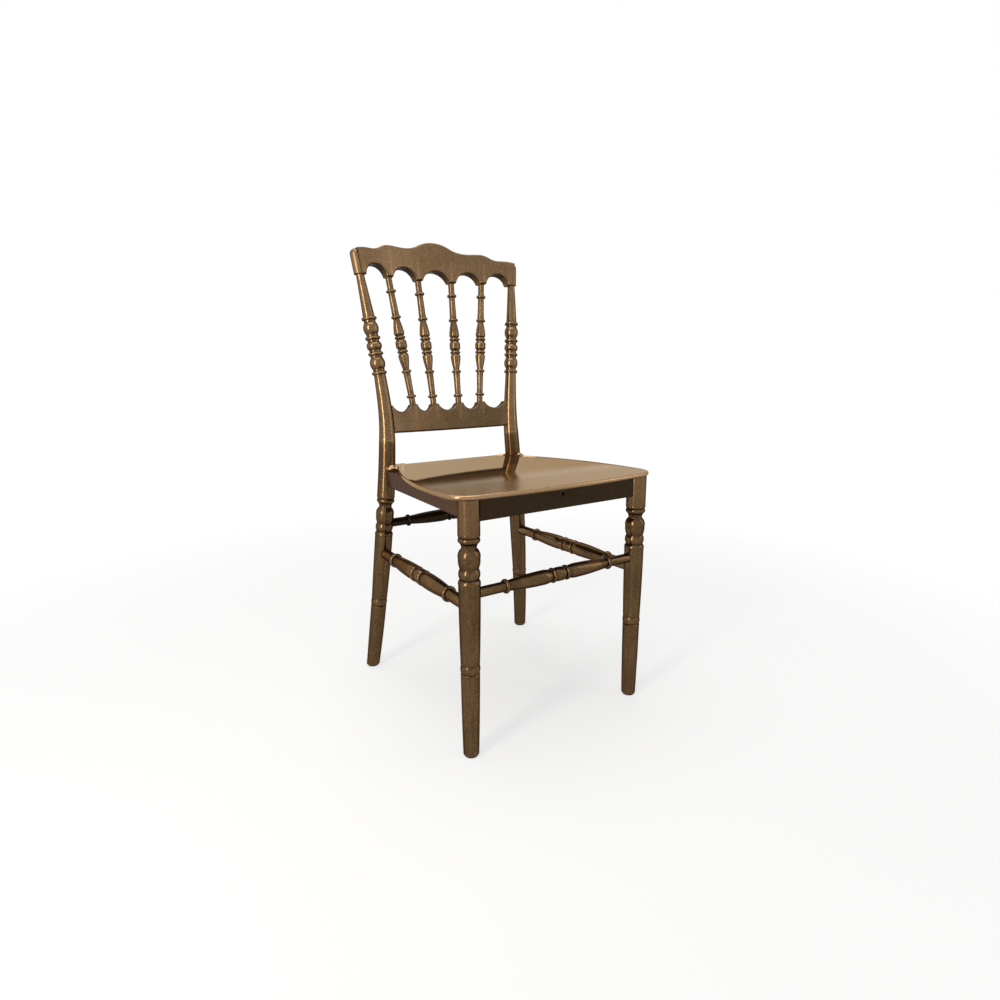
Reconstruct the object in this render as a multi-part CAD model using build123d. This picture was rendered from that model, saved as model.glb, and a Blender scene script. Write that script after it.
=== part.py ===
from build123d import *

import os
from math import atan, cos, degrees, radians, sin, sqrt, tan

# A banquet chair with a turned frame, a fan of four spindles in its back and a moulded seat panel.
# Millimetres. The chair faces -Y, +Z is up, and "left" is -X, as seen by someone facing the chair.
# Pieces are first made over the floor plane z = 0, and the last step centres the whole over the origin.

# Clearances
FIT_GAP = 0.15          # round a tenon, dowel, bolt or screw in its hole
COPE_GAP = 0.25         # between a hollowed end and the round piece that it meets
HOLE_END_GAP = 0.6      # past the end of a tenon, dowel, bolt or screw

# Seat outline, in the seat's own tilted plane
SEAT_Z = 444.0              # top of the rim at y = 0
SEAT_TILT = 1.5             # degrees, front edge up
SEAT_THICK = 8.5
SEAT_FRONT_Y = -219.0
SEAT_FRONT_R = 1500.0
SEAT_HALF_W = 215.0
SEAT_WIDEST_Y = -140.0
SEAT_SIDE_R = 620.0
SEAT_CORNER_R = 42.0

# Front legs: centre line
FRONT_TOP_Z = 440.0
FRONT_TOP_INSET = 33.8      # from the widest part of the seat
FRONT_TOP_SETBACK = 31.8    # from the front of the seat
FRONT_SPREAD = 1.8          # how far the foot stands outwards of the top
FRONT_RAKE = 5.8            # how far the foot stands forwards of the top

# Back legs and uprights: centre line
POST_WAIST_OUTSET = 3.99    # from the seat's side, just before its ears, to the waist where the posts
                            # stand closest
POST_WAIST_Z = 524.0
POST_SPLAY_DOWN = 5.48      # degrees, outwards below the waist
POST_SPLAY_UP = 6.3         # degrees, outwards above the waist
POST_WAIST_ROUND = 5.2      # how softly the two slopes meet
POST_KNEE_Y = 176.5         # foremost point of the sweep
POST_KNEE_Z = 360.0
POST_SWEEP_DOWN_R = 2855.0
POST_SWEEP_UP_R = 2225.0
POST_JOINT_Z = 488.0        # joint between back leg and upright

# Leg turning, upwards from the floor
LEG_D = 36.0
FRONT_FOOT_D = 26.5
BACK_FOOT_D = 27.0
FOOT_EDGE_R = 1.2
SHIN_D = 32.0
SHIN_BELLY = 0.4            # how far the shin swells past a straight taper
CALF_BELLY = 0.5
FRONT_ANKLE_Z = 149.0       # lower nick of a front leg
BACK_ANKLE_Z = 141.0        # lower nick of a back leg
NICK_H = 3.0
NICK_D = 29.6
ANKLE_BEAD_H = 12.0
ANKLE_BEAD_FOOT_D = 31.4
ANKLE_BEAD_D = 33.2
FRONT_NECK_Z = 302.0        # where the front leg's rings begin
BACK_NECK_Z = 294.0         # where the back leg's rings begin
SHOULDER_H = 9.0
SHOULDER_ROUND = 1.5
GROOVE_D = 30.6
BEAD_H = 17.5
BEAD_D = 35.4
BALL_LOWER_H = 17.0
BALL_LOWER_ROUND = 1.0
BALL_D = 36.0
BALL_UPPER_H = 16.0
BALL_UPPER_ROUND = 2.3
NECK_D = 25.6
FLARE_H = 10.0
FLARE_HOLLOW = 1.4
RING_H = 8.0
RING_FOOT_D = 32.4
RING_D = 36.0
COLLAR_H = 5.5
COLLAR_ROUND = 0.8

# Foot glides
GLIDE_H = 3.0
GLIDE_D = 23.0
GLIDE_EDGE_R = 0.8
GLIDE_STUD_D = 7.0
GLIDE_STUD_H = 14.0

# Upright turning
UPRIGHT_JOINT_D = 33.0
UPRIGHT_WAIST_D = 23.6      # just under the lowest ring
UPRIGHT_HOLLOW = 0.5        # how far the lower stretch draws in from a straight taper
UPRIGHT_RINGS_Z = 619.0     # where the rings begin
UPRIGHT_RING_H = 6.5
UPRIGHT_RING_D = 30.0
UPRIGHT_GROOVE_H = 4.5
UPRIGHT_GROOVE_D = 23.0
UPRIGHT_BALL_D = 30.2
UPRIGHT_END_BALL_H = 22.0
UPRIGHT_MID_BALL_H = 15.0
UPRIGHT_TOP_D = 14.8
UPRIGHT_TENON_D = 12.0
UPRIGHT_TENON_H = 26.0
SPIGOT_D = 18.0             # on the foot of the upright, in the top of the back leg
SPIGOT_H = 36.0

# Back: a reclined frame, bowed from post to post so that its middle lies furthest back
BACK_SETBACK = 32.0         # from the foremost point of the posts to the middle of the lower rail's top
BACK_Z = 556.0              # feet of the spindles
BACK_RECLINE = 9.65         # degrees

# Lower back rail, heights measured along the back from the feet of the spindles
RAIL_H = 57.0
RAIL_THICK = 20.0
RAIL_SCALLOP = 14.0
RAIL_CUSP_W = 16.0          # level cusp under each spindle
RAIL_END_DROP = 1.5         # the ends beside the uprights, under the cusps
RAIL_EDGE_R = 3.5

# Crest rail, heights measured along the back from its feet on the spindles
CREST_FOOT_H = 255.2        # the feet themselves, over the feet of the spindles
CREST_FOOT_W = 15.0         # level foot over each spindle
CREST_THICK = 24.0
CREST_ARCH_H = 21.4
CREST_END_D = 22.6          # round end over each upright
CREST_END_DROP = 3.2        # the feet of the round ends, under the other feet
CREST_END_H = 44.4
CREST_CORNER_R = 10.0
CREST_SHELF_W = 26.2        # shelf beside each round end, from the middle of the end
CREST_SHELF_H = 48.6
CREST_BUMP_X = 105.0
CREST_BUMP_H = 61.8
CREST_DIP_X = 74.0
CREST_DIP_H = 61.2
CREST_PEAK_H = 79.4
CREST_EDGE_R = 3.5

# Spindles: their places as shares of the way from the middle to the posts, and the turning from the middle
# ball outwards
INNER_FOOT_SHARE = 0.2002
INNER_HEAD_SHARE = 0.2223
OUTER_FOOT_SHARE = 0.5365
OUTER_HEAD_SHARE = 0.6197
SPINDLE_MIDDLE = 0.48       # share of the spindle under the middle of its ball
SPINDLE_BALL_D = 22.6
SPINDLE_BALL_H = 20.0
SPINDLE_NECK_D = 16.2
SPINDLE_NECK_H = 2.4
SPINDLE_RING_D = 22.4
SPINDLE_RING_H = 5.6
SPINDLE_VASE_D = 21.6
SPINDLE_VASE_LIP_H = 5.5
SPINDLE_VASE_LIP_ROUND = 0.8
SPINDLE_VASE_H = 26.3
SPINDLE_VASE_BELLY = 0.5
SPINDLE_BAND_D = 20.4
SPINDLE_BAND_H = 5.6
SPINDLE_SHAFT_D = 14.6
SPINDLE_SHAFT_H = 45.9
SPINDLE_END_D = 12.8
SPINDLE_TENON_D = 8.0
SPINDLE_TENON_H = 14.0

# Stretchers: heights of their centre lines, and the turning from the middle outwards
FRONT_STRETCHER_Z = 285.0
REAR_STRETCHER_Z = 318.0
SIDE_STRETCHER_FRONT_Z = 264.0
SIDE_STRETCHER_REAR_Z = 257.0
STRETCHER_BEAD_D = 25.0
STRETCHER_BEAD_H = 23.0
STRETCHER_BEAD_ROUND = 0.9
STRETCHER_NECK_D = 20.4
STRETCHER_RING_D = 27.0
STRETCHER_RING_H = 7.0
STRETCHER_SWELL_D = 26.0
STRETCHER_SWELL_H = 19.0
STRETCHER_SWELL_ROUND = 0.9
STRETCHER_TAPER_H = 72.0
STRETCHER_TAPER_ROUND = 1.0
STRETCHER_D = 17.6
STRETCHER_END_RING_D = 25.0
SIDE_STRETCHER_EXTRA_D = 3.6  # how much thicker the side stretchers are
STRETCHER_TENON_D = 12.0
STRETCHER_TENON_END = 4.0   # from the leg's centre line to the end of the tenon

# Seat panel: rear edge, ears in front of the posts, rim and dish
SEAT_REAR_PAST_KNEE = 9.5   # from the foremost point of the posts to the rear edge
SEAT_EAR_R = 12.0
SEAT_EAR_OVERLAP = 5.0      # from the centre of the ear to the front of the post
SEAT_EAR_FILLET = 5.0
SEAT_KNOB_R = 9.0           # round knob on each ear
SEAT_KNOB_H = 4.0           # how far the knob stands over the rim
SEAT_TOP_R = 3.4            # rounding of the rim's upper edge
SEAT_UNDER_R = 4.6          # rounding of the rim's lower edge
DISH_RIM = 10.0             # from the outline to the floor of the dish
DISH_DEPTH = 2.2            # at the rear edge, where the dish is open; it runs out at the front edge
DISH_WALL_ANGLE = 50.0      # degrees from upright

# Aprons, corner braces and their fasteners
APRON_H = 36.5              # front and rear
SIDE_APRON_H = 32.7
APRON_THICK = 15.0
APRON_EDGE_R = 1.6
APRON_SPOT_D = 6.0          # small round recess in the middle of the front apron
APRON_SPOT_DEPTH = 2.5
APRON_SPOT_DROP = 12.0
DOWEL_D = 8.0
DOWEL_IN_APRON = 14.0
DOWEL_END = 6.0             # from the leg's centre line to the end of the dowel
DOWEL_SPACING = 18.0
BRACE_H = 26.0
BRACE_THICK = 20.0
BRACE_REACH = 50.0          # from the leg's centre line to the middle of the brace
BOLT_D = 6.0
BOLT_HEAD_W = 10.0          # across flats
BOLT_HEAD_H = 4.0
BOLT_PAST_AXIS = 5.0
WASHER_D = 16.0
WASHER_H = 1.6
SCREW_D = 4.0
SCREW_HEAD_D = 8.0
SCREW_HEAD_H = 2.6
SCREW_HEAD_R = 1.2
SCREW_IN_SEAT = 3.4
SCREW_SPACING = 40.0
RAIL_DOWEL_D = 8.0
RAIL_DOWEL_IN_RAIL = 13.0
RAIL_DOWEL_END = 5.0        # from the post's centre line to the end of the dowel
RAIL_DOWEL_COVER = 4.5      # from the bottom of the scallops to the upper dowel
RAIL_DOWEL_SPACING = 18.0

SIDES = (("left", -1), ("right", 1))
REACH = 600.0               # longer than any piece that a cutting block has to pass
BOTTOM_UP = (Align.CENTER, Align.CENTER, Align.MIN)
TOP_DOWN = (Align.CENTER, Align.CENTER, Align.MAX)

SEAT = Plane(origin=(0, 0, SEAT_Z)).rotated((-SEAT_TILT, 0, 0))
UNDER_SEAT = SEAT.offset(-SEAT_THICK)
BACK = Plane(origin=(0, POST_KNEE_Y + BACK_SETBACK, BACK_Z)).rotated((-BACK_RECLINE, 0, 0))


def frame_along(point, direction):
    """A plane at a point, facing along a direction, turned as squarely to X as it can be."""
    helper = Vector(1, 0, 0) if abs(direction.X) < 0.7 else Vector(0, 0, 1)
    x_dir = (helper - direction * direction.dot(helper)).normalized()
    return Plane(origin=point, x_dir=x_dir, z_dir=direction)


def rod(start, end, diameter):
    """A round bar between two points."""
    run = end - start
    bar = Cylinder(diameter / 2, run.length, align=BOTTOM_UP)
    return frame_along(start, run.normalized()) * bar


def hole(start, end, diameter):
    """The hole for a bar that stands in it from start to end, with room past its end."""
    room = (end - start).normalized() * HOLE_END_GAP
    return rod(start, end + room, diameter + 2 * FIT_GAP)


def flip(shape):
    """The same piece on the other side of the chair."""
    return mirror(shape, about=Plane.YZ)


def handed(shape, side):
    return shape if side > 0 else flip(shape)


def over(plane):
    """A block that fills the space over a plane."""
    return plane * Box(2 * REACH, 2 * REACH, REACH, align=BOTTOM_UP)


def under(plane):
    """A block that fills the space under a plane."""
    return plane * Box(2 * REACH, 2 * REACH, REACH, align=TOP_DOWN)


# Turning: a step is its height, the diameter that it ends with and how far its arc bulges out.

def taper(height, end_d):
    return (height, end_d, 0.0)


def curve(height, end_d, bulge):
    return (height, end_d, bulge)


def bead(height, foot_d, crown_d):
    return (height, foot_d, (crown_d - foot_d) / 2)


def height_of(steps):
    return sum(step[0] for step in steps)


def turned(start_d, steps):
    """A solid turned about +Z, from z = 0 upwards."""
    foot = Vector(start_d / 2, 0)
    edges = [Line((0, 0), foot)]
    for rise, end_d, bulge in steps:
        head = Vector(end_d / 2, foot.Y + rise)
        if bulge == 0:
            edges.append(Line(foot, head))
        else:
            run = head - foot
            out = Vector(run.Y, -run.X).normalized()
            edges.append(ThreePointArc(foot, (foot + head) / 2 + out * bulge, head))
        foot = head
    edges.append(Line(foot, (0, foot.Y)))
    edges.append(Line((0, foot.Y), (0, 0)))
    return revolve(Plane.XZ * make_face(edges), Axis.Z)


def double_turned(middle_d, upper_steps, lower_steps):
    """A turning with its steps counted both ways from its middle, which is at z = 0."""
    return turned(middle_d, upper_steps) + mirror(turned(middle_d, lower_steps), about=Plane.XY)


# Centre lines

def seat_side_x(y):
    """Half width of the seat's outline, without its ears, at a distance from the front."""
    return SEAT_HALF_W - SEAT_SIDE_R + sqrt(SEAT_SIDE_R ** 2 - (y - SEAT_WIDEST_Y) ** 2)


def before_ears_y():
    """Where the seat's ears begin, in front of the posts."""
    return POST_KNEE_Y - LEG_D / 2 - SEAT_EAR_OVERLAP - SEAT_EAR_R


def front_axis(z):
    """Centre of the right front leg at a height."""
    drop = 1 - z / FRONT_TOP_Z
    x = SEAT_HALF_W - FRONT_TOP_INSET + FRONT_SPREAD * drop
    y = SEAT_FRONT_Y + FRONT_TOP_SETBACK - FRONT_RAKE * drop
    return Vector(x, y, z)


def post_axis(z):
    """Centre of the right back leg or upright at a height."""
    rise = z - POST_WAIST_Z
    slope_down = tan(radians(POST_SPLAY_DOWN))
    slope_up = tan(radians(POST_SPLAY_UP))
    lean = (slope_up - slope_down) / 2
    fork = (slope_up + slope_down) / 2
    spread = lean * rise + sqrt((fork * rise) ** 2 + POST_WAIST_ROUND ** 2) - POST_WAIST_ROUND
    sweep_r = POST_SWEEP_UP_R if z > POST_KNEE_Z else POST_SWEEP_DOWN_R
    x = seat_side_x(before_ears_y()) + POST_WAIST_OUTSET + spread
    y = POST_KNEE_Y + (z - POST_KNEE_Z) ** 2 / (2 * sweep_r)
    return Vector(x, y, z)


def frame_on(axis, z):
    """The plane square to a centre line at a height."""
    step = 0.5
    return frame_along(axis(z), (axis(z + step) - axis(z - step)).normalized())


def disc(plane, diameter):
    return plane * Circle(diameter / 2)


def zone(axis, z, start_d, steps):
    """A turned stretch of a curved piece, on a straight axis, and the planes of its two ends."""
    length = height_of(steps)
    direction = (axis(z + length) - axis(z)).normalized()
    foot = frame_along(axis(z), direction)
    return foot * turned(start_d, steps), foot, foot.offset(length)


def meeting(axis, plane):
    """Height at which a centre line meets a plane."""
    z = plane.origin.Z
    for _ in range(30):
        z = z - plane.to_local_coords(axis(z)).Z
    return z


def mean(a, b, share=0.5):
    return a + (b - a) * share


# Legs

def ankle_steps():
    half = NICK_H / 2
    return [
        taper(half, NICK_D),
        taper(half, ANKLE_BEAD_FOOT_D),
        bead(ANKLE_BEAD_H, ANKLE_BEAD_FOOT_D, ANKLE_BEAD_D),
        taper(half, NICK_D),
        taper(half, SHIN_D),
    ]


def neck_steps():
    return [
        curve(SHOULDER_H, GROOVE_D, SHOULDER_ROUND),
        bead(BEAD_H, GROOVE_D, BEAD_D),
        curve(BALL_LOWER_H, BALL_D, BALL_LOWER_ROUND),
        curve(BALL_UPPER_H, NECK_D, BALL_UPPER_ROUND),
        curve(FLARE_H, RING_FOOT_D, -FLARE_HOLLOW),
        bead(RING_H, RING_FOOT_D, RING_D),
        curve(COLLAR_H, LEG_D, COLLAR_ROUND),
    ]


def trim_foot(leg, axis):
    """Cuts a leg level over its glide, rounds the edge and bores the hole for the glide's stud."""
    leg -= under(Plane(origin=(0, 0, GLIDE_H)))
    rim = leg.faces().sort_by(Axis.Z)[0].edges()
    leg = fillet(rim, FOOT_EDGE_R)
    return leg - hole(glide_point(axis), glide_point(axis) + Vector(0, 0, GLIDE_STUD_H), GLIDE_STUD_D)


def glide_point(axis):
    """Middle of a foot's level underside."""
    return axis(GLIDE_H)


def foot_glide(axis):
    pad = Cylinder(GLIDE_D / 2, GLIDE_H, align=TOP_DOWN)
    pad = fillet(pad.edges().sort_by(Axis.Z)[0], GLIDE_EDGE_R)
    stud = Cylinder(GLIDE_STUD_D / 2, GLIDE_STUD_H, align=BOTTOM_UP)
    return Pos(*glide_point(axis)) * (pad + stud)


def front_leg():
    spare = 2 * GLIDE_H
    top = meeting(front_axis, UNDER_SEAT)
    ankle = ankle_steps()
    neck = neck_steps()
    calf_h = FRONT_NECK_Z - FRONT_ANKLE_Z - height_of(ankle)
    head_h = top - FRONT_NECK_Z - height_of(neck) + LEG_D
    steps = [curve(spare + FRONT_ANKLE_Z, SHIN_D, SHIN_BELLY)]
    steps += ankle
    steps += [curve(calf_h, LEG_D, CALF_BELLY)]
    steps += neck
    steps += [taper(head_h, LEG_D)]
    direction = (front_axis(top) - front_axis(0)).normalized()
    leg = frame_along(front_axis(-spare), direction) * turned(FRONT_FOOT_D, steps)
    leg -= over(UNDER_SEAT)
    return trim_foot(leg, front_axis)


def back_leg():
    spare = 2 * GLIDE_H
    ankle, ankle_foot, ankle_head = zone(post_axis, BACK_ANKLE_Z, SHIN_D, ankle_steps())
    neck, neck_foot, neck_head = zone(post_axis, BACK_NECK_Z, LEG_D, neck_steps())
    shin_mid = mean(-spare, BACK_ANKLE_Z)
    shin_d = mean(BACK_FOOT_D, SHIN_D) + 2 * SHIN_BELLY
    shin = loft([
        disc(frame_on(post_axis, -spare), BACK_FOOT_D),
        disc(frame_on(post_axis, shin_mid), shin_d),
        disc(ankle_foot, SHIN_D),
    ])
    calf_mid = mean(ankle_head.origin.Z, BACK_NECK_Z)
    calf = loft([
        disc(ankle_head, SHIN_D),
        disc(frame_on(post_axis, calf_mid), mean(SHIN_D, LEG_D) + 2 * CALF_BELLY),
        disc(neck_foot, LEG_D),
    ])
    head_mid = mean(neck_head.origin.Z, POST_JOINT_Z)
    head = loft([
        disc(neck_head, LEG_D),
        disc(frame_on(post_axis, head_mid), mean(LEG_D, UPRIGHT_JOINT_D)),
        disc(frame_on(post_axis, POST_JOINT_Z), UPRIGHT_JOINT_D),
    ])
    leg = shin + ankle + calf + neck + head
    leg -= hole(post_axis(POST_JOINT_Z), spigot_end(), SPIGOT_D)
    return trim_foot(leg, post_axis)


# Uprights

def spigot_end():
    joint = frame_on(post_axis, POST_JOINT_Z)
    return joint.origin - joint.z_dir * SPIGOT_H


def upright_steps():
    groove = taper(UPRIGHT_GROOVE_H, UPRIGHT_GROOVE_D)
    ring = bead(UPRIGHT_RING_H, UPRIGHT_GROOVE_D, UPRIGHT_RING_D)
    end_ball = bead(UPRIGHT_END_BALL_H, UPRIGHT_GROOVE_D, UPRIGHT_BALL_D)
    mid_ball = bead(UPRIGHT_MID_BALL_H, UPRIGHT_GROOVE_D, UPRIGHT_BALL_D)
    steps = [ring]
    for ball in (end_ball, mid_ball, end_ball):
        steps += [groove, ball, groove, ring]
    return steps


def upright_foot(extra_d=0.0):
    """The plain lower stretch of the upright, between the joint and the rings."""
    sections = []
    for share in (0.0, 1 / 3, 2 / 3, 1.0):
        z = mean(POST_JOINT_Z, UPRIGHT_RINGS_Z, share)
        draw_in = 4 * UPRIGHT_HOLLOW * share * (1 - share)
        diameter = mean(UPRIGHT_JOINT_D, UPRIGHT_WAIST_D, share) - draw_in + extra_d
        sections.append((z, diameter))
    rings_foot = zone(post_axis, UPRIGHT_RINGS_Z, UPRIGHT_GROOVE_D, upright_steps())[1]
    planes = [frame_on(post_axis, z) for z, _ in sections[:-1]] + [rings_foot]
    return loft([disc(plane, d) for plane, (_, d) in zip(planes, sections)])


def upright_head_plane():
    """The plane on which the crest's round ends stand on the uprights."""
    return BACK.offset(CREST_FOOT_H - CREST_END_DROP)


def crest_end():
    """Middle of the foot of the crest's right round end, and the direction in which the end rises."""
    foot = post_axis(meeting(post_axis, upright_head_plane()))
    up = BACK.from_local_coords(Vector(tan(radians(POST_SPLAY_UP)), 0, 1)) - BACK.origin
    return foot, up.normalized()


def upright_tenon():
    """Start and end of the tenon of the right upright, from just inside its head."""
    foot, up = crest_end()
    return foot - up * UPRIGHT_TENON_D / 2, foot + up * UPRIGHT_TENON_H


def upright():
    rings, _, rings_head = zone(post_axis, UPRIGHT_RINGS_Z, UPRIGHT_GROOVE_D, upright_steps())
    head_z = crest_end()[0].Z + UPRIGHT_TOP_D / 2
    mid_z = mean(rings_head.origin.Z, head_z)
    shaft = loft([
        disc(rings_head, UPRIGHT_GROOVE_D),
        disc(frame_on(post_axis, mid_z), mean(UPRIGHT_GROOVE_D, UPRIGHT_TOP_D)),
        disc(frame_on(post_axis, head_z), UPRIGHT_TOP_D),
    ])
    body = upright_foot() + rings + shaft - over(upright_head_plane())
    body += rod(*upright_tenon(), UPRIGHT_TENON_D)
    body += rod(post_axis(POST_JOINT_Z), spigot_end(), SPIGOT_D)
    return body


# Back: rails and spindles, in the reclined frame with z along the back

def bow_radius(height):
    """Radius of the arc through both posts and the middle of the back, at a height along the back."""
    post = BACK.to_local_coords(post_axis(meeting(post_axis, BACK.offset(height))))
    return (post.X ** 2 + post.Y ** 2) / (-2 * post.Y)


def crest_bow_r():
    return bow_radius(CREST_FOOT_H - CREST_END_DROP)


def rail_bow_r():
    return bow_radius(-RAIL_H / 2)


def bow(x, radius):
    """Middle of the back's thickness at a distance from the centre."""
    return sqrt(radius ** 2 - x ** 2) - radius


def spindle_ends(foot_x, head_x):
    foot = BACK.from_local_coords(Vector(foot_x, bow(foot_x, rail_bow_r()), 0))
    head = BACK.from_local_coords(Vector(head_x, bow(head_x, crest_bow_r()), CREST_FOOT_H))
    return foot, head


def rail_half_w():
    """Half width of the lower rail, to the middles of the posts."""
    return post_axis(meeting(post_axis, BACK)).X


def crest_half_w():
    """Half width of the crest, to the middles of the feet of its round ends."""
    return crest_end()[0].X


def foot_places():
    """Places of the spindles along the lower rail."""
    inner = INNER_FOOT_SHARE * rail_half_w()
    outer = OUTER_FOOT_SHARE * rail_half_w()
    return [-outer, -inner, inner, outer]


def head_places():
    """Places of the spindles along the crest."""
    inner = INNER_HEAD_SHARE * crest_half_w()
    outer = OUTER_HEAD_SHARE * crest_half_w()
    return [-outer, -inner, inner, outer]


def spindle_rows():
    names = (("outer", "left"), ("inner", "left"), ("inner", "right"), ("outer", "right"))
    return [(*name, *spindle_ends(foot_x, head_x))
            for name, foot_x, head_x in zip(names, foot_places(), head_places())]


def spindle_steps(length):
    """Half of a spindle's turning, from the middle of its ball to a plain end."""
    neck = SPINDLE_NECK_D
    steps = [
        curve(SPINDLE_BALL_H / 2, neck, (SPINDLE_BALL_D - neck) / 4),
        taper(SPINDLE_NECK_H / 2, neck),
        bead(SPINDLE_RING_H, neck, SPINDLE_RING_D),
        taper(SPINDLE_NECK_H / 2, neck),
        curve(SPINDLE_VASE_LIP_H, SPINDLE_VASE_D, SPINDLE_VASE_LIP_ROUND),
        curve(SPINDLE_VASE_H, SPINDLE_END_D, SPINDLE_VASE_BELLY),
        taper(SPINDLE_NECK_H, SPINDLE_SHAFT_D),
        bead(SPINDLE_BAND_H, SPINDLE_SHAFT_D, SPINDLE_BAND_D),
        taper(SPINDLE_SHAFT_H, SPINDLE_END_D),
        bead(SPINDLE_BAND_H, SPINDLE_END_D, SPINDLE_BAND_D),
    ]
    return steps + [taper(length - height_of(steps), SPINDLE_END_D)]


def spindle(foot, head):
    run = head - foot
    direction = run.normalized()
    spare = SPINDLE_END_D / 2
    upper = spindle_steps(run.length * (1 - SPINDLE_MIDDLE) + spare)
    lower = spindle_steps(run.length * SPINDLE_MIDDLE + spare)
    ball = frame_along(mean(foot, head, SPINDLE_MIDDLE), direction)
    body = ball * double_turned(SPINDLE_BALL_D, upper, lower)
    body = body - over(BACK.offset(CREST_FOOT_H)) - under(BACK)
    tenon = direction * SPINDLE_TENON_H
    return body + rod(foot - tenon, head + tenon, SPINDLE_TENON_D)


def spindle_socket(inside, end):
    """The hole for a spindle's tenon, from a point in the spindle's end to the end of the tenon."""
    return hole(inside, end + (end - inside).normalized() * SPINDLE_TENON_H, SPINDLE_TENON_D)


def bowed_slab(outline, thick, radius):
    """A flat outline cut from a bowed board."""
    ring = Circle(radius + thick / 2) - Circle(radius - thick / 2)
    board = extrude(Pos(0, -radius, -REACH) * ring, 2 * REACH)
    return extrude(Plane.XZ.offset(-radius / 2) * outline, radius) & board


def round_rim(slab, half_w, radius):
    """Rounds the front and rear edges of a bowed slab, but not those at its two ends."""
    rim = [edge for edge in slab.edges() if abs(edge.tangent_at(0.5).Y) < 0.8]
    return fillet([edge for edge in rim if abs(edge.position_at(0.5).X) < half_w], radius)


def level_stretches(centres, width, height):
    return [(x - width / 2, x + width / 2, height) for x in centres]


def scalloped(stretches, rise):
    """Level stretches, each a start, an end and a height, joined by arcs."""
    edges = []
    for number, (start, end, level) in enumerate(stretches):
        edges.append(Line((start, level), (end, level)))
        if number + 1 < len(stretches):
            next_start, _, next_level = stretches[number + 1]
            crown = (mean(end, next_start), mean(level, next_level) + rise)
            edges.append(ThreePointArc((end, level), crown, (next_start, next_level)))
    return edges


def ogee(start, end):
    """Two arcs from one point to another, level at both ends."""
    middle = (start + end) / 2
    onward = Vector(end.X - start.X, 0)
    return [TangentArc(start, middle, tangent=onward), TangentArc(end, middle, tangent=-onward)]


def crest_outline():
    """Outline of the crest between the middles of its round ends."""
    foot = BACK.to_local_coords(crest_end()[0])
    end_r = CREST_END_D / 2
    top = CREST_FOOT_H + CREST_END_H
    top_x = foot.X + tan(radians(POST_SPLAY_UP)) * (top - foot.Z)
    marks = [
        (foot.X - CREST_SHELF_W, CREST_SHELF_H),
        (CREST_BUMP_X, CREST_BUMP_H),
        (CREST_DIP_X, CREST_DIP_H),
        (0, CREST_PEAK_H),
    ]
    crown = [Vector(x, CREST_FOOT_H + height) for x, height in marks]
    crown += [Vector(-mark.X, mark.Y) for mark in reversed(crown[:-1])]
    feet = [(-foot.X, end_r - foot.X, foot.Z)]
    feet += level_stretches(head_places(), CREST_FOOT_W, CREST_FOOT_H)
    feet += [(foot.X - end_r, foot.X, foot.Z)]
    edges = scalloped(feet, CREST_ARCH_H)
    for start, end in zip(crown[:-1], crown[1:]):
        edges += ogee(start, end)
    edges += [
        Line((foot.X, foot.Z), (top_x, top)),
        TangentArc(crown[0], (top_x, top), tangent=(1, 0)),
        TangentArc(crown[-1], (-top_x, top), tangent=(-1, 0)),
        Line((-top_x, top), (-foot.X, foot.Z)),
    ]
    return make_face(edges)


def crest_round_end():
    foot, up = crest_end()
    rise = (CREST_END_H + CREST_END_DROP) / cos(radians(POST_SPLAY_UP))
    end = rod(foot - up * CREST_END_D, foot + up * rise, CREST_END_D)
    end = fillet(end.edges().sort_by(Axis.Z)[-1], CREST_CORNER_R)
    return end - under(upright_head_plane())


def crest_rail():
    slab = bowed_slab(crest_outline(), CREST_THICK, crest_bow_r())
    rail = BACK * round_rim(slab, crest_half_w(), CREST_EDGE_R)
    end = crest_round_end()
    socket = hole(*upright_tenon(), UPRIGHT_TENON_D)
    for _, side in SIDES:
        rail += handed(end, side)
        rail -= handed(socket, side)
    return rail - [spindle_socket(mean(foot, head), head) for _, _, foot, head in spindle_rows()]


def rail_outline():
    end_x = rail_half_w()
    shore = end_x - UPRIGHT_JOINT_D / 2
    stretches = [(-end_x, -shore, -RAIL_END_DROP)]
    stretches += level_stretches(foot_places(), RAIL_CUSP_W, 0)
    stretches += [(shore, end_x, -RAIL_END_DROP)]
    edges = scalloped(stretches, -RAIL_SCALLOP)
    edges += [
        Line((end_x, -RAIL_END_DROP), (end_x, -RAIL_H)),
        Line((end_x, -RAIL_H), (-end_x, -RAIL_H)),
        Line((-end_x, -RAIL_H), (-end_x, -RAIL_END_DROP)),
    ]
    return make_face(edges)


def rail_dowel_lines():
    """Start, shore and end of each dowel on the right: in the post, and in the rail."""
    lines = []
    upper = RAIL_END_DROP + RAIL_SCALLOP + RAIL_DOWEL_COVER + RAIL_DOWEL_D / 2
    for drop in (upper, upper + RAIL_DOWEL_SPACING):
        post = post_axis(meeting(post_axis, BACK.offset(-drop)))
        inner_x = foot_places()[-1]
        target = BACK.from_local_coords(Vector(inner_x, bow(inner_x, rail_bow_r()), -drop))
        along = (target - post).normalized()
        start = post + along * RAIL_DOWEL_END
        end = post + along * (UPRIGHT_JOINT_D / 2 + RAIL_DOWEL_IN_RAIL)
        lines.append((start, end))
    return lines


def lower_back_rail():
    slab = bowed_slab(rail_outline(), RAIL_THICK, rail_bow_r())
    rail = BACK * round_rim(slab, rail_half_w() - RAIL_EDGE_R, RAIL_EDGE_R)
    rail -= [spindle_socket(mean(foot, head), foot) for _, _, foot, head in spindle_rows()]
    cutter = upright_foot(2 * COPE_GAP)
    for _, side in SIDES:
        rail -= handed(cutter, side)
        for start, end in rail_dowel_lines():
            rail -= handed(hole(start, end, RAIL_DOWEL_D), side)
    return rail


# Stretchers

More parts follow.
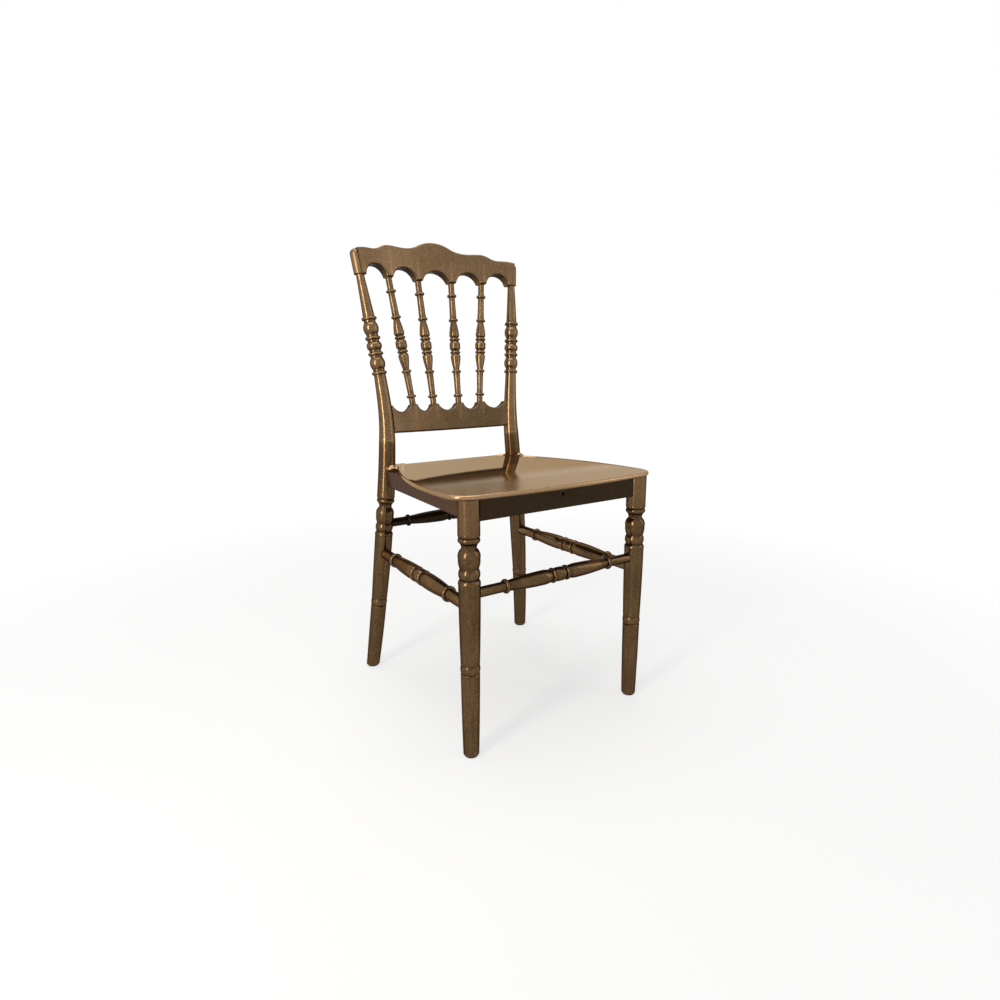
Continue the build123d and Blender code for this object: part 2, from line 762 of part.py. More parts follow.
def stretcher_half_steps(length, extra_d):
    """Half of a stretcher's turning, from its middle outwards, with all its diameters made larger."""
    steps = [
        curve(STRETCHER_BEAD_H / 2, STRETCHER_NECK_D, STRETCHER_BEAD_ROUND),
        bead(STRETCHER_RING_H, STRETCHER_NECK_D, STRETCHER_RING_D),
        curve(STRETCHER_SWELL_H, STRETCHER_SWELL_D, STRETCHER_SWELL_ROUND),
        curve(STRETCHER_TAPER_H, STRETCHER_D, STRETCHER_TAPER_ROUND),
        bead(STRETCHER_RING_H, STRETCHER_D, STRETCHER_END_RING_D),
    ]
    steps.append(taper(length / 2 - height_of(steps), STRETCHER_D))
    return [(height, end_d + extra_d, bulge) for height, end_d, bulge in steps]


def leg_core(axis, z):
    """A round cutter over a leg beside a stretcher or an apron."""
    plane = frame_on(axis, z)
    bar = Cylinder(LEG_D / 2 + COPE_GAP, 4 * LEG_D)
    return plane * bar


def neck_core():
    """A cutter over the rings of a back leg, which the rear stretcher meets."""
    wider = [(height, end_d + 2 * COPE_GAP, bulge) for height, end_d, bulge in neck_steps()]
    return zone(post_axis, BACK_NECK_Z, LEG_D + 2 * COPE_GAP, wider)[0]


def stretcher(start, end, cores, extra_d):
    run = end - start
    direction = run.normalized()
    steps = stretcher_half_steps(run.length, extra_d)
    body = double_turned(STRETCHER_BEAD_D + extra_d, steps, steps)
    body = frame_along((start + end) / 2, direction) * body
    return body - cores + rod(*tenon_ends(start, end), STRETCHER_TENON_D)


def tenon_ends(start, end):
    back_off = (end - start).normalized() * STRETCHER_TENON_END
    return start + back_off, end - back_off


def opposite(point):
    return Vector(-point.X, point.Y, point.Z)


def stretcher_lines():
    """Centre lines of the stretchers, from leg centre to leg centre."""
    front = front_axis(FRONT_STRETCHER_Z)
    rear = post_axis(REAR_STRETCHER_Z)
    side_front = front_axis(SIDE_STRETCHER_FRONT_Z)
    side_rear = post_axis(SIDE_STRETCHER_REAR_Z)
    return {
        "front_stretcher": (opposite(front), front),
        "rear_stretcher": (opposite(rear), rear),
        "right_stretcher": (side_front, side_rear),
    }


# Seat panel, aprons, braces and fasteners

def post_at_seat():
    return meeting(post_axis, SEAT)


def seat_rear_y():
    return POST_KNEE_Y + SEAT_REAR_PAST_KNEE


def seat_body(rear_y, inset=0.0):
    """Outline of the seat without its ears, as far as a rear edge, or a line that runs inside it."""
    side = Circle(SEAT_SIDE_R - inset)
    side_x = SEAT_HALF_W - SEAT_SIDE_R
    body = Pos(0, SEAT_FRONT_Y + SEAT_FRONT_R) * Circle(SEAT_FRONT_R - inset)
    body &= Pos(side_x, SEAT_WIDEST_Y) * side
    body &= Pos(-side_x, SEAT_WIDEST_Y) * side
    body &= Pos(0, rear_y) * Rectangle(2 * REACH, 2 * REACH, align=(Align.CENTER, Align.MAX))
    corners = body.vertices().sort_by(Axis.Y)[:2]
    return fillet(corners, SEAT_CORNER_R - inset)


def seat_ear():
    """Centre of the right ear, in the seat's plane."""
    post = SEAT.to_local_coords(post_axis(post_at_seat()))
    return Vector(post.X, post.Y - LEG_D / 2 - SEAT_EAR_OVERLAP)


def seat_outline():
    ear = seat_ear()
    shore = ear.Y - SEAT_EAR_R
    bridge = Rectangle(2 * ear.X, seat_rear_y() - shore, align=(Align.CENTER, Align.MAX))
    outline = seat_body(seat_rear_y()) + Pos(0, seat_rear_y()) * bridge
    for _, side in SIDES:
        outline += Pos(side * ear.X, ear.Y) * Circle(SEAT_EAR_R)
    level = [v for v in outline.vertices() if abs(v.Y - shore) < FIT_GAP]
    inlets = [v for v in level if abs(v.X) < ear.X - FIT_GAP]
    return fillet(inlets, SEAT_EAR_FILLET)


def dish():
    """The hollow of the seat, deepest at its open rear edge and running out at its front edge."""
    floor = seat_body(seat_rear_y() + DISH_RIM, DISH_RIM)
    floor = fillet(floor.vertices().sort_by(Axis.Y)[-2:], DISH_RIM)
    hollow = extrude(floor, SEAT_THICK, taper=-DISH_WALL_ANGLE)
    slope = degrees(atan(DISH_DEPTH / (seat_rear_y() - SEAT_FRONT_Y)))
    hinge = Pos(0, SEAT_FRONT_Y)
    return hinge * Rot(-slope, 0, 0) * hinge.inverse() * hollow


def seat_knob():
    """The round knob on the right ear."""
    ear = seat_ear()
    knob = Pos(ear.X, ear.Y, SEAT_KNOB_H - SEAT_KNOB_R) * Sphere(SEAT_KNOB_R)
    return knob - under(Plane.XY.offset(-SEAT_THICK / 2))


def seat_panel():
    panel = extrude(seat_outline(), -SEAT_THICK)
    panel = fillet(panel.faces().sort_by(Axis.Z)[-1].edges(), SEAT_TOP_R)
    panel = fillet(panel.faces().sort_by(Axis.Z)[0].edges(), SEAT_UNDER_R)
    panel = panel - dish() + on_both_sides([seat_knob()])
    panel = SEAT * panel
    core = leg_core(post_axis, post_at_seat())
    holes = [hole(start, end, SCREW_D) for start, end in screw_lines()]
    return panel - on_both_sides([core] + holes)


def leg_tops():
    """Centres of the right front and back legs on the underside of the seat."""
    front = front_axis(meeting(front_axis, UNDER_SEAT))
    rear = post_axis(meeting(post_axis, UNDER_SEAT))
    return front, rear


def apron_lines():
    """Top line of each apron, from leg centre to leg centre, and its height."""
    front, rear = leg_tops()
    return {
        "front_apron": (opposite(front), front, APRON_H),
        "rear_apron": (opposite(rear), rear, APRON_H),
        "right_apron": (front, rear, SIDE_APRON_H),
    }


def dowel_lines(start, end, height):
    """Each dowel of an apron, from its end in the leg to its end in the apron."""
    along = (end - start).normalized()
    lines = []
    for leg, way in ((start, along), (end, -along)):
        for drop in (height - DOWEL_SPACING, height + DOWEL_SPACING):
            centre = leg - UNDER_SEAT.z_dir * drop / 2
            lines.append((centre + way * DOWEL_END, centre + way * (LEG_D / 2 + DOWEL_IN_APRON)))
    return lines


def apron(start, end, height, cores):
    run = end - start
    board = Box(run.length, APRON_THICK, height, align=(Align.MIN, Align.CENTER, Align.MAX))
    lower = board.faces().sort_by(Axis.Z)[0].edges().filter_by(Axis.X)
    board = fillet(lower, APRON_EDGE_R)
    board = Plane(origin=start, x_dir=run.normalized(), z_dir=UNDER_SEAT.z_dir) * board
    return board - cores - [hole(*line, DOWEL_D) for line in dowel_lines(start, end, height)]


def apron_spot():
    """The small round recess in the face of the front apron."""
    top = leg_tops()[0]
    face = Vector(0, top.Y - APRON_THICK / 2, top.Z - APRON_SPOT_DROP)
    return rod(face - Vector(0, APRON_THICK, 0), face + Vector(0, APRON_SPOT_DEPTH, 0), APRON_SPOT_D)


def brace_frames():
    """For the front and rear corner on the right: the plane at the leg's centre on the underside of the
    seat, with x towards the middle of the brace, and half the angle between the two aprons."""
    front, rear = leg_tops()
    side = (rear - front).normalized()
    inward = Vector(-1, 0, 0)
    frames = []
    for leg, along in ((front, side), (rear, -side)):
        middle = (inward + along).normalized()
        plane = Plane(origin=leg, x_dir=middle, z_dir=UNDER_SEAT.z_dir)
        frames.append((plane, radians(middle.get_angle(inward))))
    return frames


def brace(plane, half_angle):
    near = BRACE_REACH - BRACE_THICK / 2
    far = BRACE_REACH + BRACE_THICK / 2
    slope = sin(half_angle) / cos(half_angle)
    inset = APRON_THICK / 2 / cos(half_angle)
    near_w = near * slope - inset
    far_w = far * slope - inset
    outline = Polygon((near, -near_w), (far, -far_w), (far, far_w), (near, near_w), align=None)
    block = plane * extrude(outline, -BRACE_H)
    block -= [hole(*line, BOLT_D) for line in bolt_lines()]
    return block - [hole(*line, SCREW_D) for line in screw_lines()]


def bolt_lines():
    """Each bolt's shank on the right, from the washer's face to its end in the leg."""
    start = Vector(BRACE_REACH + BRACE_THICK / 2 + WASHER_H, 0, -APRON_H / 2)
    end = Vector(-BOLT_PAST_AXIS, 0, -APRON_H / 2)
    return [(plane.from_local_coords(start), plane.from_local_coords(end)) for plane, _ in brace_frames()]


def screw_lines():
    """Each screw's shank on the right, from the underside of the brace to its end in the seat."""
    lines = []
    for plane, _ in brace_frames():
        for y in (-SCREW_SPACING / 2, SCREW_SPACING / 2):
            start = Vector(BRACE_REACH, y, -BRACE_H)
            end = Vector(BRACE_REACH, y, SCREW_IN_SEAT)
            lines.append((plane.from_local_coords(start), plane.from_local_coords(end)))
    return lines


def bolt(start, end):
    head = extrude(RegularPolygon(BOLT_HEAD_W / 2, 6, major_radius=False), BOLT_HEAD_H)
    return frame_along(start, (start - end).normalized()) * head + rod(start, end, BOLT_D)


def washer(start, end):
    ring = extrude(Circle(WASHER_D / 2) - Circle(BOLT_D / 2 + FIT_GAP), WASHER_H)
    return frame_along(start, (end - start).normalized()) * ring


def screw(start, end):
    head = Cylinder(SCREW_HEAD_D / 2, SCREW_HEAD_H, align=BOTTOM_UP)
    head = fillet(head.edges().sort_by(Axis.Z)[-1], SCREW_HEAD_R)
    return frame_along(start, (start - end).normalized()) * head + rod(start, end, SCREW_D)


# Holes in the right-hand legs

def leg_holes():
    holes = []
    for start, end in stretcher_lines().values():
        holes += [hole((start + end) / 2, tip, STRETCHER_TENON_D) for tip in tenon_ends(start, end)]
    for line in apron_lines().values():
        holes += [hole(far, near, DOWEL_D) for near, far in dowel_lines(*line)]
    return holes + [hole(*line, BOLT_D) for line in bolt_lines()]


# The whole chair

def on_both_sides(shapes):
    return [handed(shape, side) for _, side in SIDES for shape in shapes]


def chair():
    pieces = {}
    holes = leg_holes()
    paired = {
        "front_leg": front_leg() - holes,
        "back_leg": back_leg() - holes,
        "upright": upright() - [hole(end, start, RAIL_DOWEL_D) for start, end in rail_dowel_lines()],
        "glide_front": foot_glide(front_axis),
        "glide_back": foot_glide(post_axis),
    }
    for place, (plane, half_angle) in zip(("front", "rear"), brace_frames()):
        paired["brace_" + place] = brace(plane, half_angle)

    cores = {
        "front_stretcher": [leg_core(front_axis, FRONT_STRETCHER_Z)],
        "rear_stretcher": [neck_core()],
        "right_stretcher": [
            leg_core(front_axis, SIDE_STRETCHER_FRONT_Z),
            leg_core(post_axis, SIDE_STRETCHER_REAR_Z),
        ],
    }
    for name, (start, end) in stretcher_lines().items():
        extra_d = SIDE_STRETCHER_EXTRA_D if name == "right_stretcher" else 0.0
        pieces[name] = stretcher(start, end, on_both_sides(cores[name]), extra_d)

    front_top, rear_top = leg_tops()
    leg_heads = on_both_sides([leg_core(front_axis, front_top.Z), leg_core(post_axis, rear_top.Z)])
    for name, line in apron_lines().items():
        pieces[name] = apron(*line, leg_heads)
    pieces["front_apron"] -= apron_spot()
    for name in ("stretcher", "apron"):
        pieces["left_" + name] = flip(pieces["right_" + name])

    for name, shape in paired.items():
        for side_name, side in SIDES:
            pieces[name + "_" + side_name] = handed(shape, side)

    pieces["seat_panel"] = seat_panel()
    pieces["crest_rail"] = crest_rail()
    pieces["lower_back_rail"] = lower_back_rail()
    for name, side_name, foot, head in spindle_rows():
        pieces["spindle_" + name + "_" + side_name] = spindle(foot, head)

    apron_dowels = []
    for name, line in apron_lines().items():
        dowels = [rod(*ends, DOWEL_D) for ends in dowel_lines(*line)]
        apron_dowels += on_both_sides(dowels) if name == "right_apron" else dowels
    groups = {
        "apron_dowels": apron_dowels,
        "lower_rail_dowels": on_both_sides([rod(*line, RAIL_DOWEL_D) for line in rail_dowel_lines()]),
        "leg_bolts": on_both_sides([bolt(*line) for line in bolt_lines()]),
        "leg_bolt_washers": on_both_sides([washer(*line) for line in bolt_lines()]),
        "seat_screws": on_both_sides([screw(*line) for line in screw_lines()]),
    }
    for name, shapes in groups.items():
        pieces[name] = Compound(shapes)
    return pieces


def export(pieces):
    """Writes each piece, with the middle of the chair's outline moved over the origin."""
    front_y = pieces["seat_panel"].bounding_box().min.Y
    rear_y = pieces["crest_rail"].bounding_box().max.Y
    centre = Pos(0, -mean(front_y, rear_y), 0)
    os.makedirs("parts", exist_ok=True)
    for name, shape in pieces.items():
        export_step(centre * shape, "parts/" + name + ".step")


export(chair())
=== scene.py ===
import bpy
import math
from mathutils import Matrix, Vector

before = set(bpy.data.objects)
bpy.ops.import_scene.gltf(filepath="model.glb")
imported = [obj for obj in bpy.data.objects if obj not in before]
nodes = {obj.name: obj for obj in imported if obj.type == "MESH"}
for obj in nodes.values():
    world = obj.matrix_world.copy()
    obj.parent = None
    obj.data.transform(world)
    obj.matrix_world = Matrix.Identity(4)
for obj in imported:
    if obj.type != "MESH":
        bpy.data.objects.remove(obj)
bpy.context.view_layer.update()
scene = bpy.context.scene


# Materials: a moulded resin with gold pearl pigment, in object coordinates (metres)

FLAKE_SCALE = 620.0
CLOUD_SCALE = 16.0
MOTTLE_SCALE = 210.0
SMEAR_SCALE = 32.0
PEEL_SCALE = 180.0
FINE_PEEL_SCALE = 700.0
GRAIN_CLOUD_SCALE = 40.0
COAT_ROUGHNESS = 0.07
HOLLOW_START_Y = -0.135
HOLLOW_FULL_Y = -0.080
WORN_START_Y = -0.06
WORN_FULL_Y = -0.17


def ramp(tree, source, stops):
    node = tree.nodes.new("ShaderNodeValToRGB")
    elements = node.color_ramp.elements
    while len(elements) < len(stops):
        elements.new(0.5)
    for element, (place, value) in zip(elements, stops):
        element.position = place
        element.color = (value, value, value, 1) if isinstance(value, float) else (*value, 1)
    tree.links.new(source, node.inputs["Fac"])
    return node.outputs["Color"]


def noise(tree, coords, scale, detail=2.0, roughness=0.5):
    node = tree.nodes.new("ShaderNodeTexNoise")
    node.inputs["Scale"].default_value = scale
    node.inputs["Detail"].default_value = detail
    node.inputs["Roughness"].default_value = roughness
    tree.links.new(coords, node.inputs["Vector"])
    return node.outputs["Fac"]


def mix_colour(tree, share, first, second, blend="MIX"):
    node = tree.nodes.new("ShaderNodeMix")
    node.data_type = "RGBA"
    node.blend_type = blend
    for value, socket in ((share, node.inputs[0]), (first, node.inputs[6]), (second, node.inputs[7])):
        if isinstance(value, bpy.types.NodeSocket):
            tree.links.new(value, socket)
        elif isinstance(value, float):
            socket.default_value = value
        else:
            socket.default_value = (*value, 1)
    return node.outputs[2]


def sum_of(tree, *terms):
    """Adds up (socket, weight) pairs."""
    total = None
    for socket, weight in terms:
        scaled = tree.nodes.new("ShaderNodeMath")
        scaled.operation = "MULTIPLY_ADD"
        tree.links.new(socket, scaled.inputs[0])
        scaled.inputs[1].default_value = weight
        if total is None:
            scaled.inputs[2].default_value = 0.0
        else:
            tree.links.new(total, scaled.inputs[2])
        total = scaled.outputs[0]
    return total


def axes_of(tree, vector):
    """The X, Y and Z sockets of a vector."""
    node = tree.nodes.new("ShaderNodeSeparateXYZ")
    tree.links.new(vector, node.inputs[0])
    return node.outputs


def normal_of(tree):
    return tree.nodes.new("ShaderNodeNewGeometry").outputs["Normal"]


def math_of(tree, operation, first, second):
    node = tree.nodes.new("ShaderNodeMath")
    node.operation = operation
    tree.links.new(first, node.inputs[0])
    tree.links.new(second, node.inputs[1])
    return node.outputs[0]


def new_material(name):
    material = bpy.data.materials.new(name)
    material.use_nodes = True
    tree = material.node_tree
    shader = tree.nodes["Principled BSDF"]
    coords = tree.nodes.new("ShaderNodeTexCoord").outputs["Object"]
    return material, tree, shader, coords


def along_y(tree, coords, start, end):
    """0 at one place along y, 1 at another."""
    node = tree.nodes.new("ShaderNodeMapRange")
    node.inputs["From Min"].default_value = start
    node.inputs["From Max"].default_value = end
    tree.links.new(axes_of(tree, coords)["Y"], node.inputs["Value"])
    return node.outputs[0]


def leant_normal(tree, coords, lean, hollow):
    """The surface's normal, leant forwards and to the middle where the rear of a hollow faces up."""
    normal = normal_of(tree)
    level = ramp(tree, axes_of(tree, normal)["Z"], [(0.97, 0.0), (0.995, 1.0)])
    rear = along_y(tree, coords, HOLLOW_START_Y, HOLLOW_FULL_Y)
    share = mix_colour(tree, 1.0, level, rear, "MULTIPLY")
    slope = tree.nodes.new("ShaderNodeCombineXYZ")
    tree.links.new(sum_of(tree, (axes_of(tree, coords)["X"], -hollow)), slope.inputs["X"])
    slope.inputs["Y"].default_value = -lean
    push = tree.nodes.new("ShaderNodeVectorMath")
    push.operation = "MULTIPLY_ADD"
    tree.links.new(share, push.inputs[0])
    tree.links.new(slope.outputs[0], push.inputs[1])
    tree.links.new(normal, push.inputs[2])
    unit = tree.nodes.new("ShaderNodeVectorMath")
    unit.operation = "NORMALIZE"
    tree.links.new(push.outputs[0], unit.inputs[0])
    return unit.outputs[0]


def drawn_out(tree, coords, stretch):
    """Coordinates that draw a pattern out along z."""
    node = tree.nodes.new("ShaderNodeVectorMath")
    node.operation = "MULTIPLY"
    tree.links.new(coords, node.inputs[0])
    node.inputs[1].default_value = (1.0, 1.0, 1.0 / stretch)
    return node.outputs[0]


def painted_underside_shade(tree, underside_shade):
    """Painted shade: a factor that is 1 on upright and upper faces and darkest on undersides."""
    facing = tree.nodes.new("ShaderNodeMapRange")
    facing.inputs["From Min"].default_value = -1.0
    tree.links.new(axes_of(tree, normal_of(tree))["Z"], facing.inputs["Value"])
    return ramp(tree, facing.outputs[0], [(0.10, underside_shade), (0.47, 1.0), (0.80, 1.0)])


def pearl_resin(name, shades, gloss, metal, edge_tint, peel, coat=0.08, underside_shade=0.42, streaks=0.0,
                lean=0.0, hollow=0.0, worn_front=0.0):
    """shades are the pigment's dark, middle and light tones, gloss is the roughness, peel the height of the
    orange peel, coat the weight of the clear skin, under the painted shade of undersides, streaks how far
    the mottle is drawn out along z, lean and hollow the slopes of a soft hollow, and worn_front the roughness
    added towards the front."""
    dark, mid, light = shades
    material, tree, shader, coords = new_material(name)
    flakes = tree.nodes.new("ShaderNodeTexVoronoi")
    flakes.inputs["Scale"].default_value = FLAKE_SCALE
    tree.links.new(coords, flakes.inputs["Vector"])
    flake = tree.nodes.new("ShaderNodeSeparateColor")
    tree.links.new(flakes.outputs["Color"], flake.inputs[0])
    clouds = noise(tree, coords, CLOUD_SCALE, 4.0, 0.55)
    mottle = noise(tree, drawn_out(tree, coords, streaks) if streaks else coords, MOTTLE_SCALE, 3.0, 0.6)
    shade = sum_of(tree, (flake.outputs[0], 0.30), (clouds, 0.30), (mottle, 0.40))
    colour = ramp(tree, shade, [(0.30, dark), (0.50, mid), (0.72, light)])
    pointiness = tree.nodes.new("ShaderNodeNewGeometry").outputs["Pointiness"]
    # lighter convex edges and darker grooves: partly wear and dirt, partly painted highlight and painted
    # shade
    edges = ramp(tree, pointiness, [(0.43, 0.0), (0.50, 0.40), (0.57, 1.0)])
    wear_and_painted_light = mix_colour(tree, edges, tuple(0.15 * c for c in dark), tuple(1.9 * c for c in light))
    colour = mix_colour(tree, 0.32, colour, wear_and_painted_light)
    # painted shade: the colour is darkened on undersides
    colour = mix_colour(tree, 1.0, colour, painted_underside_shade(tree, underside_shade), "MULTIPLY")
    tree.links.new(colour, shader.inputs["Base Color"])
    smears = noise(tree, coords, SMEAR_SCALE, 5.0, 0.6)
    patchy = sum_of(tree, (smears, 0.8), (flake.outputs[1], 0.2))
    rough = ramp(tree, patchy, [(0.30, gloss * 0.75), (0.70, gloss * 1.3)])
    if worn_front:
        front = along_y(tree, coords, WORN_START_Y, WORN_FULL_Y)
        rough = sum_of(tree, (rough, 1.0), (front, worn_front))
    tree.links.new(rough, shader.inputs["Roughness"])
    bump = tree.nodes.new("ShaderNodeBump")
    bump.inputs["Strength"].default_value = 0.25
    bump.inputs["Distance"].default_value = peel
    coarse, fine = noise(tree, coords, PEEL_SCALE), noise(tree, coords, FINE_PEEL_SCALE)
    height = sum_of(tree, (coarse, 0.7), (fine, 0.3))
    tree.links.new(height, bump.inputs["Height"])
    if lean:
        tree.links.new(leant_normal(tree, coords, lean, hollow), bump.inputs["Normal"])
    tree.links.new(bump.outputs["Normal"], shader.inputs["Normal"])
    shader.inputs["Metallic"].default_value = metal
    shader.inputs["Specular Tint"].default_value = (*edge_tint, 1)
    shader.inputs["Coat Weight"].default_value = coat
    shader.inputs["Coat Roughness"].default_value = COAT_ROUGHNESS
    return material


def plain_grain(name, dark, light, rough, metal, grain):
    """A simple grained finish for the hidden pieces: braces, dowels, fasteners and foot glides."""
    material, tree, shader, coords = new_material(name)
    clouds, grains = noise(tree, coords, GRAIN_CLOUD_SCALE, 4.0), noise(tree, coords, grain)
    shade = sum_of(tree, (clouds, 0.6), (grains, 0.4))
    tree.links.new(ramp(tree, shade, [(0.30, dark), (0.70, light)]), shader.inputs["Base Color"])
    tree.links.new(ramp(tree, shade, [(0.30, rough * 0.8), (0.70, rough * 1.2)]), shader.inputs["Roughness"])
    bump = tree.nodes.new("ShaderNodeBump")
    bump.inputs["Strength"].default_value = 0.3
    bump.inputs["Distance"].default_value = 0.0002
    tree.links.new(shade, bump.inputs["Height"])
    tree.links.new(bump.outputs["Normal"], shader.inputs["Normal"])
    shader.inputs["Metallic"].default_value = metal
    return material


EDGE = (0.24, 0.185, 0.12)
SEAT_EDGE = (0.78, 0.65, 0.49)
# one resin in lit and shaded copies: the lighter post and side-bar tones are partly painted highlight, and
# the shaded tones are painted shade
LEG_TONES = ((0.028, 0.014, 0.005), (0.075, 0.041, 0.0165), (0.165, 0.099, 0.047))
BAR_TONES = ((0.045, 0.024, 0.010), (0.115, 0.066, 0.029), (0.225, 0.140, 0.071))
POST_TONES = ((0.068, 0.038, 0.016), (0.142, 0.084, 0.038), (0.250, 0.160, 0.082))
CREST_TONES = ((0.074, 0.042, 0.018), (0.141, 0.083, 0.039), (0.230, 0.144, 0.074))
RAIL_TONES = ((0.050, 0.028, 0.012), (0.098, 0.058, 0.027), (0.160, 0.100, 0.050))
SEAT_TONES = ((0.220, 0.130, 0.062), (0.310, 0.192, 0.100), (0.395, 0.258, 0.145))
SIDE_TONES = ((0.028, 0.015, 0.006), (0.064, 0.037, 0.017), (0.130, 0.080, 0.040))
SHADED_TONES = ((0.006, 0.003, 0.001), (0.014, 0.008, 0.003), (0.034, 0.020, 0.009))
leg_resin = pearl_resin("leg_resin", LEG_TONES, 0.21, 0.90, EDGE, 0.00022, coat=0.05, streaks=14.0)
front_bar_resin = pearl_resin("front_bar_resin", LEG_TONES, 0.21, 0.90, EDGE, 0.00022, coat=0.05)
side_bar_resin = pearl_resin("side_bar_resin", BAR_TONES, 0.21, 0.90, EDGE, 0.00022, coat=0.05, underside_shade=0.50)
post_resin = pearl_resin("post_resin", POST_TONES, 0.20, 0.90, EDGE, 0.00020, coat=0.05)
crest_resin = pearl_resin("crest_resin", CREST_TONES, 0.34, 0.85, EDGE, 0.00020, underside_shade=0.28)
rail_resin = pearl_resin("rail_resin", RAIL_TONES, 0.34, 0.85, EDGE, 0.00020)
seat_resin = pearl_resin("seat_resin", SEAT_TONES, 0.05, 0.90, SEAT_EDGE, 0.00004, coat=0.0,
                         lean=0.085, hollow=0.38, worn_front=0.20)
side_resin = pearl_resin("side_resin", SIDE_TONES, 0.32, 0.80, EDGE, 0.00022)
shaded_resin = pearl_resin("shaded_resin", SHADED_TONES, 0.32, 0.80, EDGE, 0.00022, coat=0.05)
brace_resin = plain_grain("brace_resin", (0.050, 0.031, 0.016), (0.095, 0.060, 0.032), 0.5, 0.3, 300.0)
dowel_resin = plain_grain("dowel_resin", (0.11, 0.07, 0.04), (0.17, 0.11, 0.06), 0.6, 0.0, 400.0)
glide_rubber = plain_grain("glide_rubber", (0.010, 0.009, 0.008), (0.028, 0.026, 0.024), 0.7, 0.0, 500.0)
zinc_steel = plain_grain("zinc_steel", (0.36, 0.36, 0.35), (0.56, 0.56, 0.54), 0.34, 1.0, 900.0)

FINISHES = (
    (("seat_panel",), seat_resin),
    (("crest_rail",), crest_resin),
    (("upright", "spindle"), post_resin),
    (("front_leg", "back_leg"), leg_resin),
    (("left_stretcher", "right_stretcher"), side_bar_resin),
    (("front_stretcher",), front_bar_resin),
    (("lower_back_rail",), rail_resin),
    (("left_apron", "right_apron"), side_resin),
    # painted shade: the darkest tones on the front and rear aprons and the rear stretcher
    (("front_apron", "rear_apron", "rear_stretcher"), shaded_resin),
    (("brace",), brace_resin),
    (("glide",), glide_rubber),
    (("leg_bolt", "seat_screws"), zinc_steel),
    (("apron_dowels", "lower_rail_dowels"), dowel_resin),
)

for name, node in nodes.items():
    finish = [material for starts, material in FINISHES if name.startswith(starts)][0]
    node.data.materials.clear()
    node.data.materials.append(finish)


# Floor, world and lamps

FLOOR_HALF = 30.0
FLOOR_GREY = 0.32        # the share of the near floor's white that takes shadows
FLOOR_NEAR = 0.5         # within this distance the floor takes them in full
FLOOR_FAR = 1.8          # and from this one on not at all


def seen_share(tree):
    """1 for rays from the camera, from mirror images and through clear pieces, 0 for rays that give light."""
    path = tree.nodes.new("ShaderNodeLightPath")
    indirect = math_of(tree, "MAXIMUM", path.outputs["Is Glossy Ray"], path.outputs["Is Transmission Ray"])
    return math_of(tree, "MAXIMUM", path.outputs["Is Camera Ray"], indirect)


def add_floor():
    mesh = bpy.data.meshes.new("floor")
    corners = [(x * FLOOR_HALF, y * FLOOR_HALF, 0) for x, y in ((-1, -1), (1, -1), (1, 1), (-1, 1))]
    mesh.from_pydata(corners, [], [(0, 1, 2, 3)])
    floor = bpy.data.objects.new("floor", mesh)
    scene.collection.objects.link(floor)
    material, tree, shader, coords = new_material("floor_pale")
    shader.inputs["Roughness"].default_value = 0.9
    shader.inputs["Specular IOR Level"].default_value = 0.1
    shader.inputs["Emission Color"].default_value = (1, 1, 1, 1)
    distance = tree.nodes.new("ShaderNodeVectorMath")
    distance.operation = "LENGTH"
    tree.links.new(coords, distance.inputs[0])
    far = tree.nodes.new("ShaderNodeMapRange")
    far.interpolation_type = "SMOOTHSTEP"
    far.inputs["From Min"].default_value = FLOOR_NEAR
    far.inputs["From Max"].default_value = FLOOR_FAR
    tree.links.new(distance.outputs["Value"], far.inputs["Value"])
    near_white = (FLOOR_GREY, FLOOR_GREY, FLOOR_GREY)
    tree.links.new(mix_colour(tree, far.outputs[0], near_white, (0.0, 0.0, 0.0)), shader.inputs["Base Color"])
    lift = tree.nodes.new("ShaderNodeMapRange")
    lift.inputs["To Min"].default_value = 1.0 - FLOOR_GREY
    tree.links.new(far.outputs[0], lift.inputs["Value"])
    glow = math_of(tree, "MULTIPLY", seen_share(tree), lift.outputs[0])
    tree.links.new(glow, shader.inputs["Emission Strength"])
    mesh.materials.append(material)


def set_world(level):
    world = bpy.data.worlds.new("studio")
    scene.world = world
    world.use_nodes = True
    tree = world.node_tree
    tree.nodes.clear()
    light = tree.nodes.new("ShaderNodeBackground")
    light.inputs["Color"].default_value = (1.0, 0.99, 0.97, 1)
    light.inputs["Strength"].default_value = level
    backdrop = tree.nodes.new("ShaderNodeBackground")
    backdrop.inputs["Color"].default_value = (1, 1, 1, 1)
    backdrop.inputs["Strength"].default_value = 1.0
    either = tree.nodes.new("ShaderNodeMixShader")
    tree.links.new(seen_share(tree), either.inputs[0])
    tree.links.new(light.outputs[0], either.inputs[1])
    tree.links.new(backdrop.outputs[0], either.inputs[2])
    output = tree.nodes.new("ShaderNodeOutputWorld")
    tree.links.new(either.outputs[0], output.inputs["Surface"])


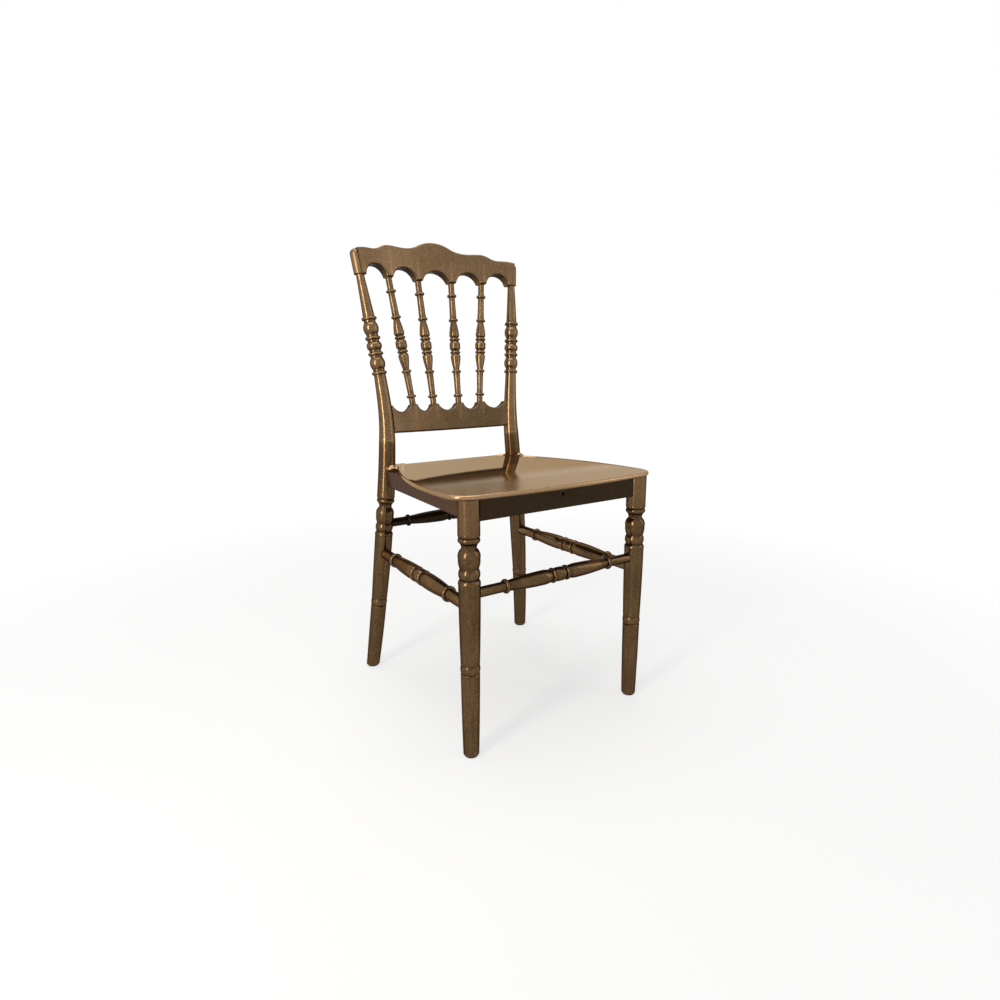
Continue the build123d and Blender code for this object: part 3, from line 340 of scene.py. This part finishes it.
def add_lamp(name, place, target, size, power, colour=(1, 1, 1)):
    lamp = bpy.data.lights.new(name, "AREA")
    lamp.shape = "RECTANGLE"
    lamp.size, lamp.size_y = size
    lamp.energy = power
    lamp.color = colour
    thing = bpy.data.objects.new(name, lamp)
    scene.collection.objects.link(thing)
    thing.location = place
    thing.rotation_euler = (Vector(target) - Vector(place)).to_track_quat("-Z", "Y").to_euler()


MIDDLE = (0.0, 0.0, 0.45)
WORLD_LEVEL = 0.25

add_floor()
set_world(WORLD_LEVEL)
add_lamp("key", (-2.0, -0.75, 1.0), MIDDLE, (0.4, 1.7), 27.0, (1.0, 0.95, 0.88))
add_lamp("fill", (1.8, -1.5, 1.2), MIDDLE, (0.5, 1.6), 5.0, (1.0, 0.97, 0.93))
add_lamp("top", (-0.2, 0.1, 2.5), MIDDLE, (2.0, 2.0), 32.0)


# Camera, at the photograph's place

CAMERA_PLACE = (-0.66148, -1.02197, 0.65017)
CAMERA_YAW = -0.58504
CAMERA_PITCH = 0.228137
CAMERA_ROLL = 0.0026715
SENSOR_MM = 36.0
FOCAL_MM = 22.499
SHIFT = (0.00236, 0.00404)


def looking(yaw, pitch, roll):
    """The turn of a camera that looks along +Y at yaw 0 and down at a positive pitch, in radians."""
    ahead = Vector((-math.sin(yaw) * math.cos(pitch), math.cos(yaw) * math.cos(pitch), -math.sin(pitch)))
    right = Vector((math.cos(yaw), math.sin(yaw), 0.0))
    up = right.cross(ahead)
    tilted_right = right * math.cos(roll) + up * math.sin(roll)
    tilted_up = up * math.cos(roll) - right * math.sin(roll)
    return Matrix((tilted_right, tilted_up, -ahead)).transposed().to_4x4()


def add_camera():
    lens = bpy.data.cameras.new("camera")
    lens.sensor_width = SENSOR_MM
    lens.lens = FOCAL_MM
    lens.shift_x, lens.shift_y = SHIFT
    lens.clip_start = 0.01
    camera = bpy.data.objects.new("camera", lens)
    scene.collection.objects.link(camera)
    turn = looking(CAMERA_YAW, CAMERA_PITCH, CAMERA_ROLL)
    camera.matrix_world = Matrix.Translation(CAMERA_PLACE) @ turn
    scene.camera = camera


add_camera()
scene.view_settings.view_transform = "Standard"
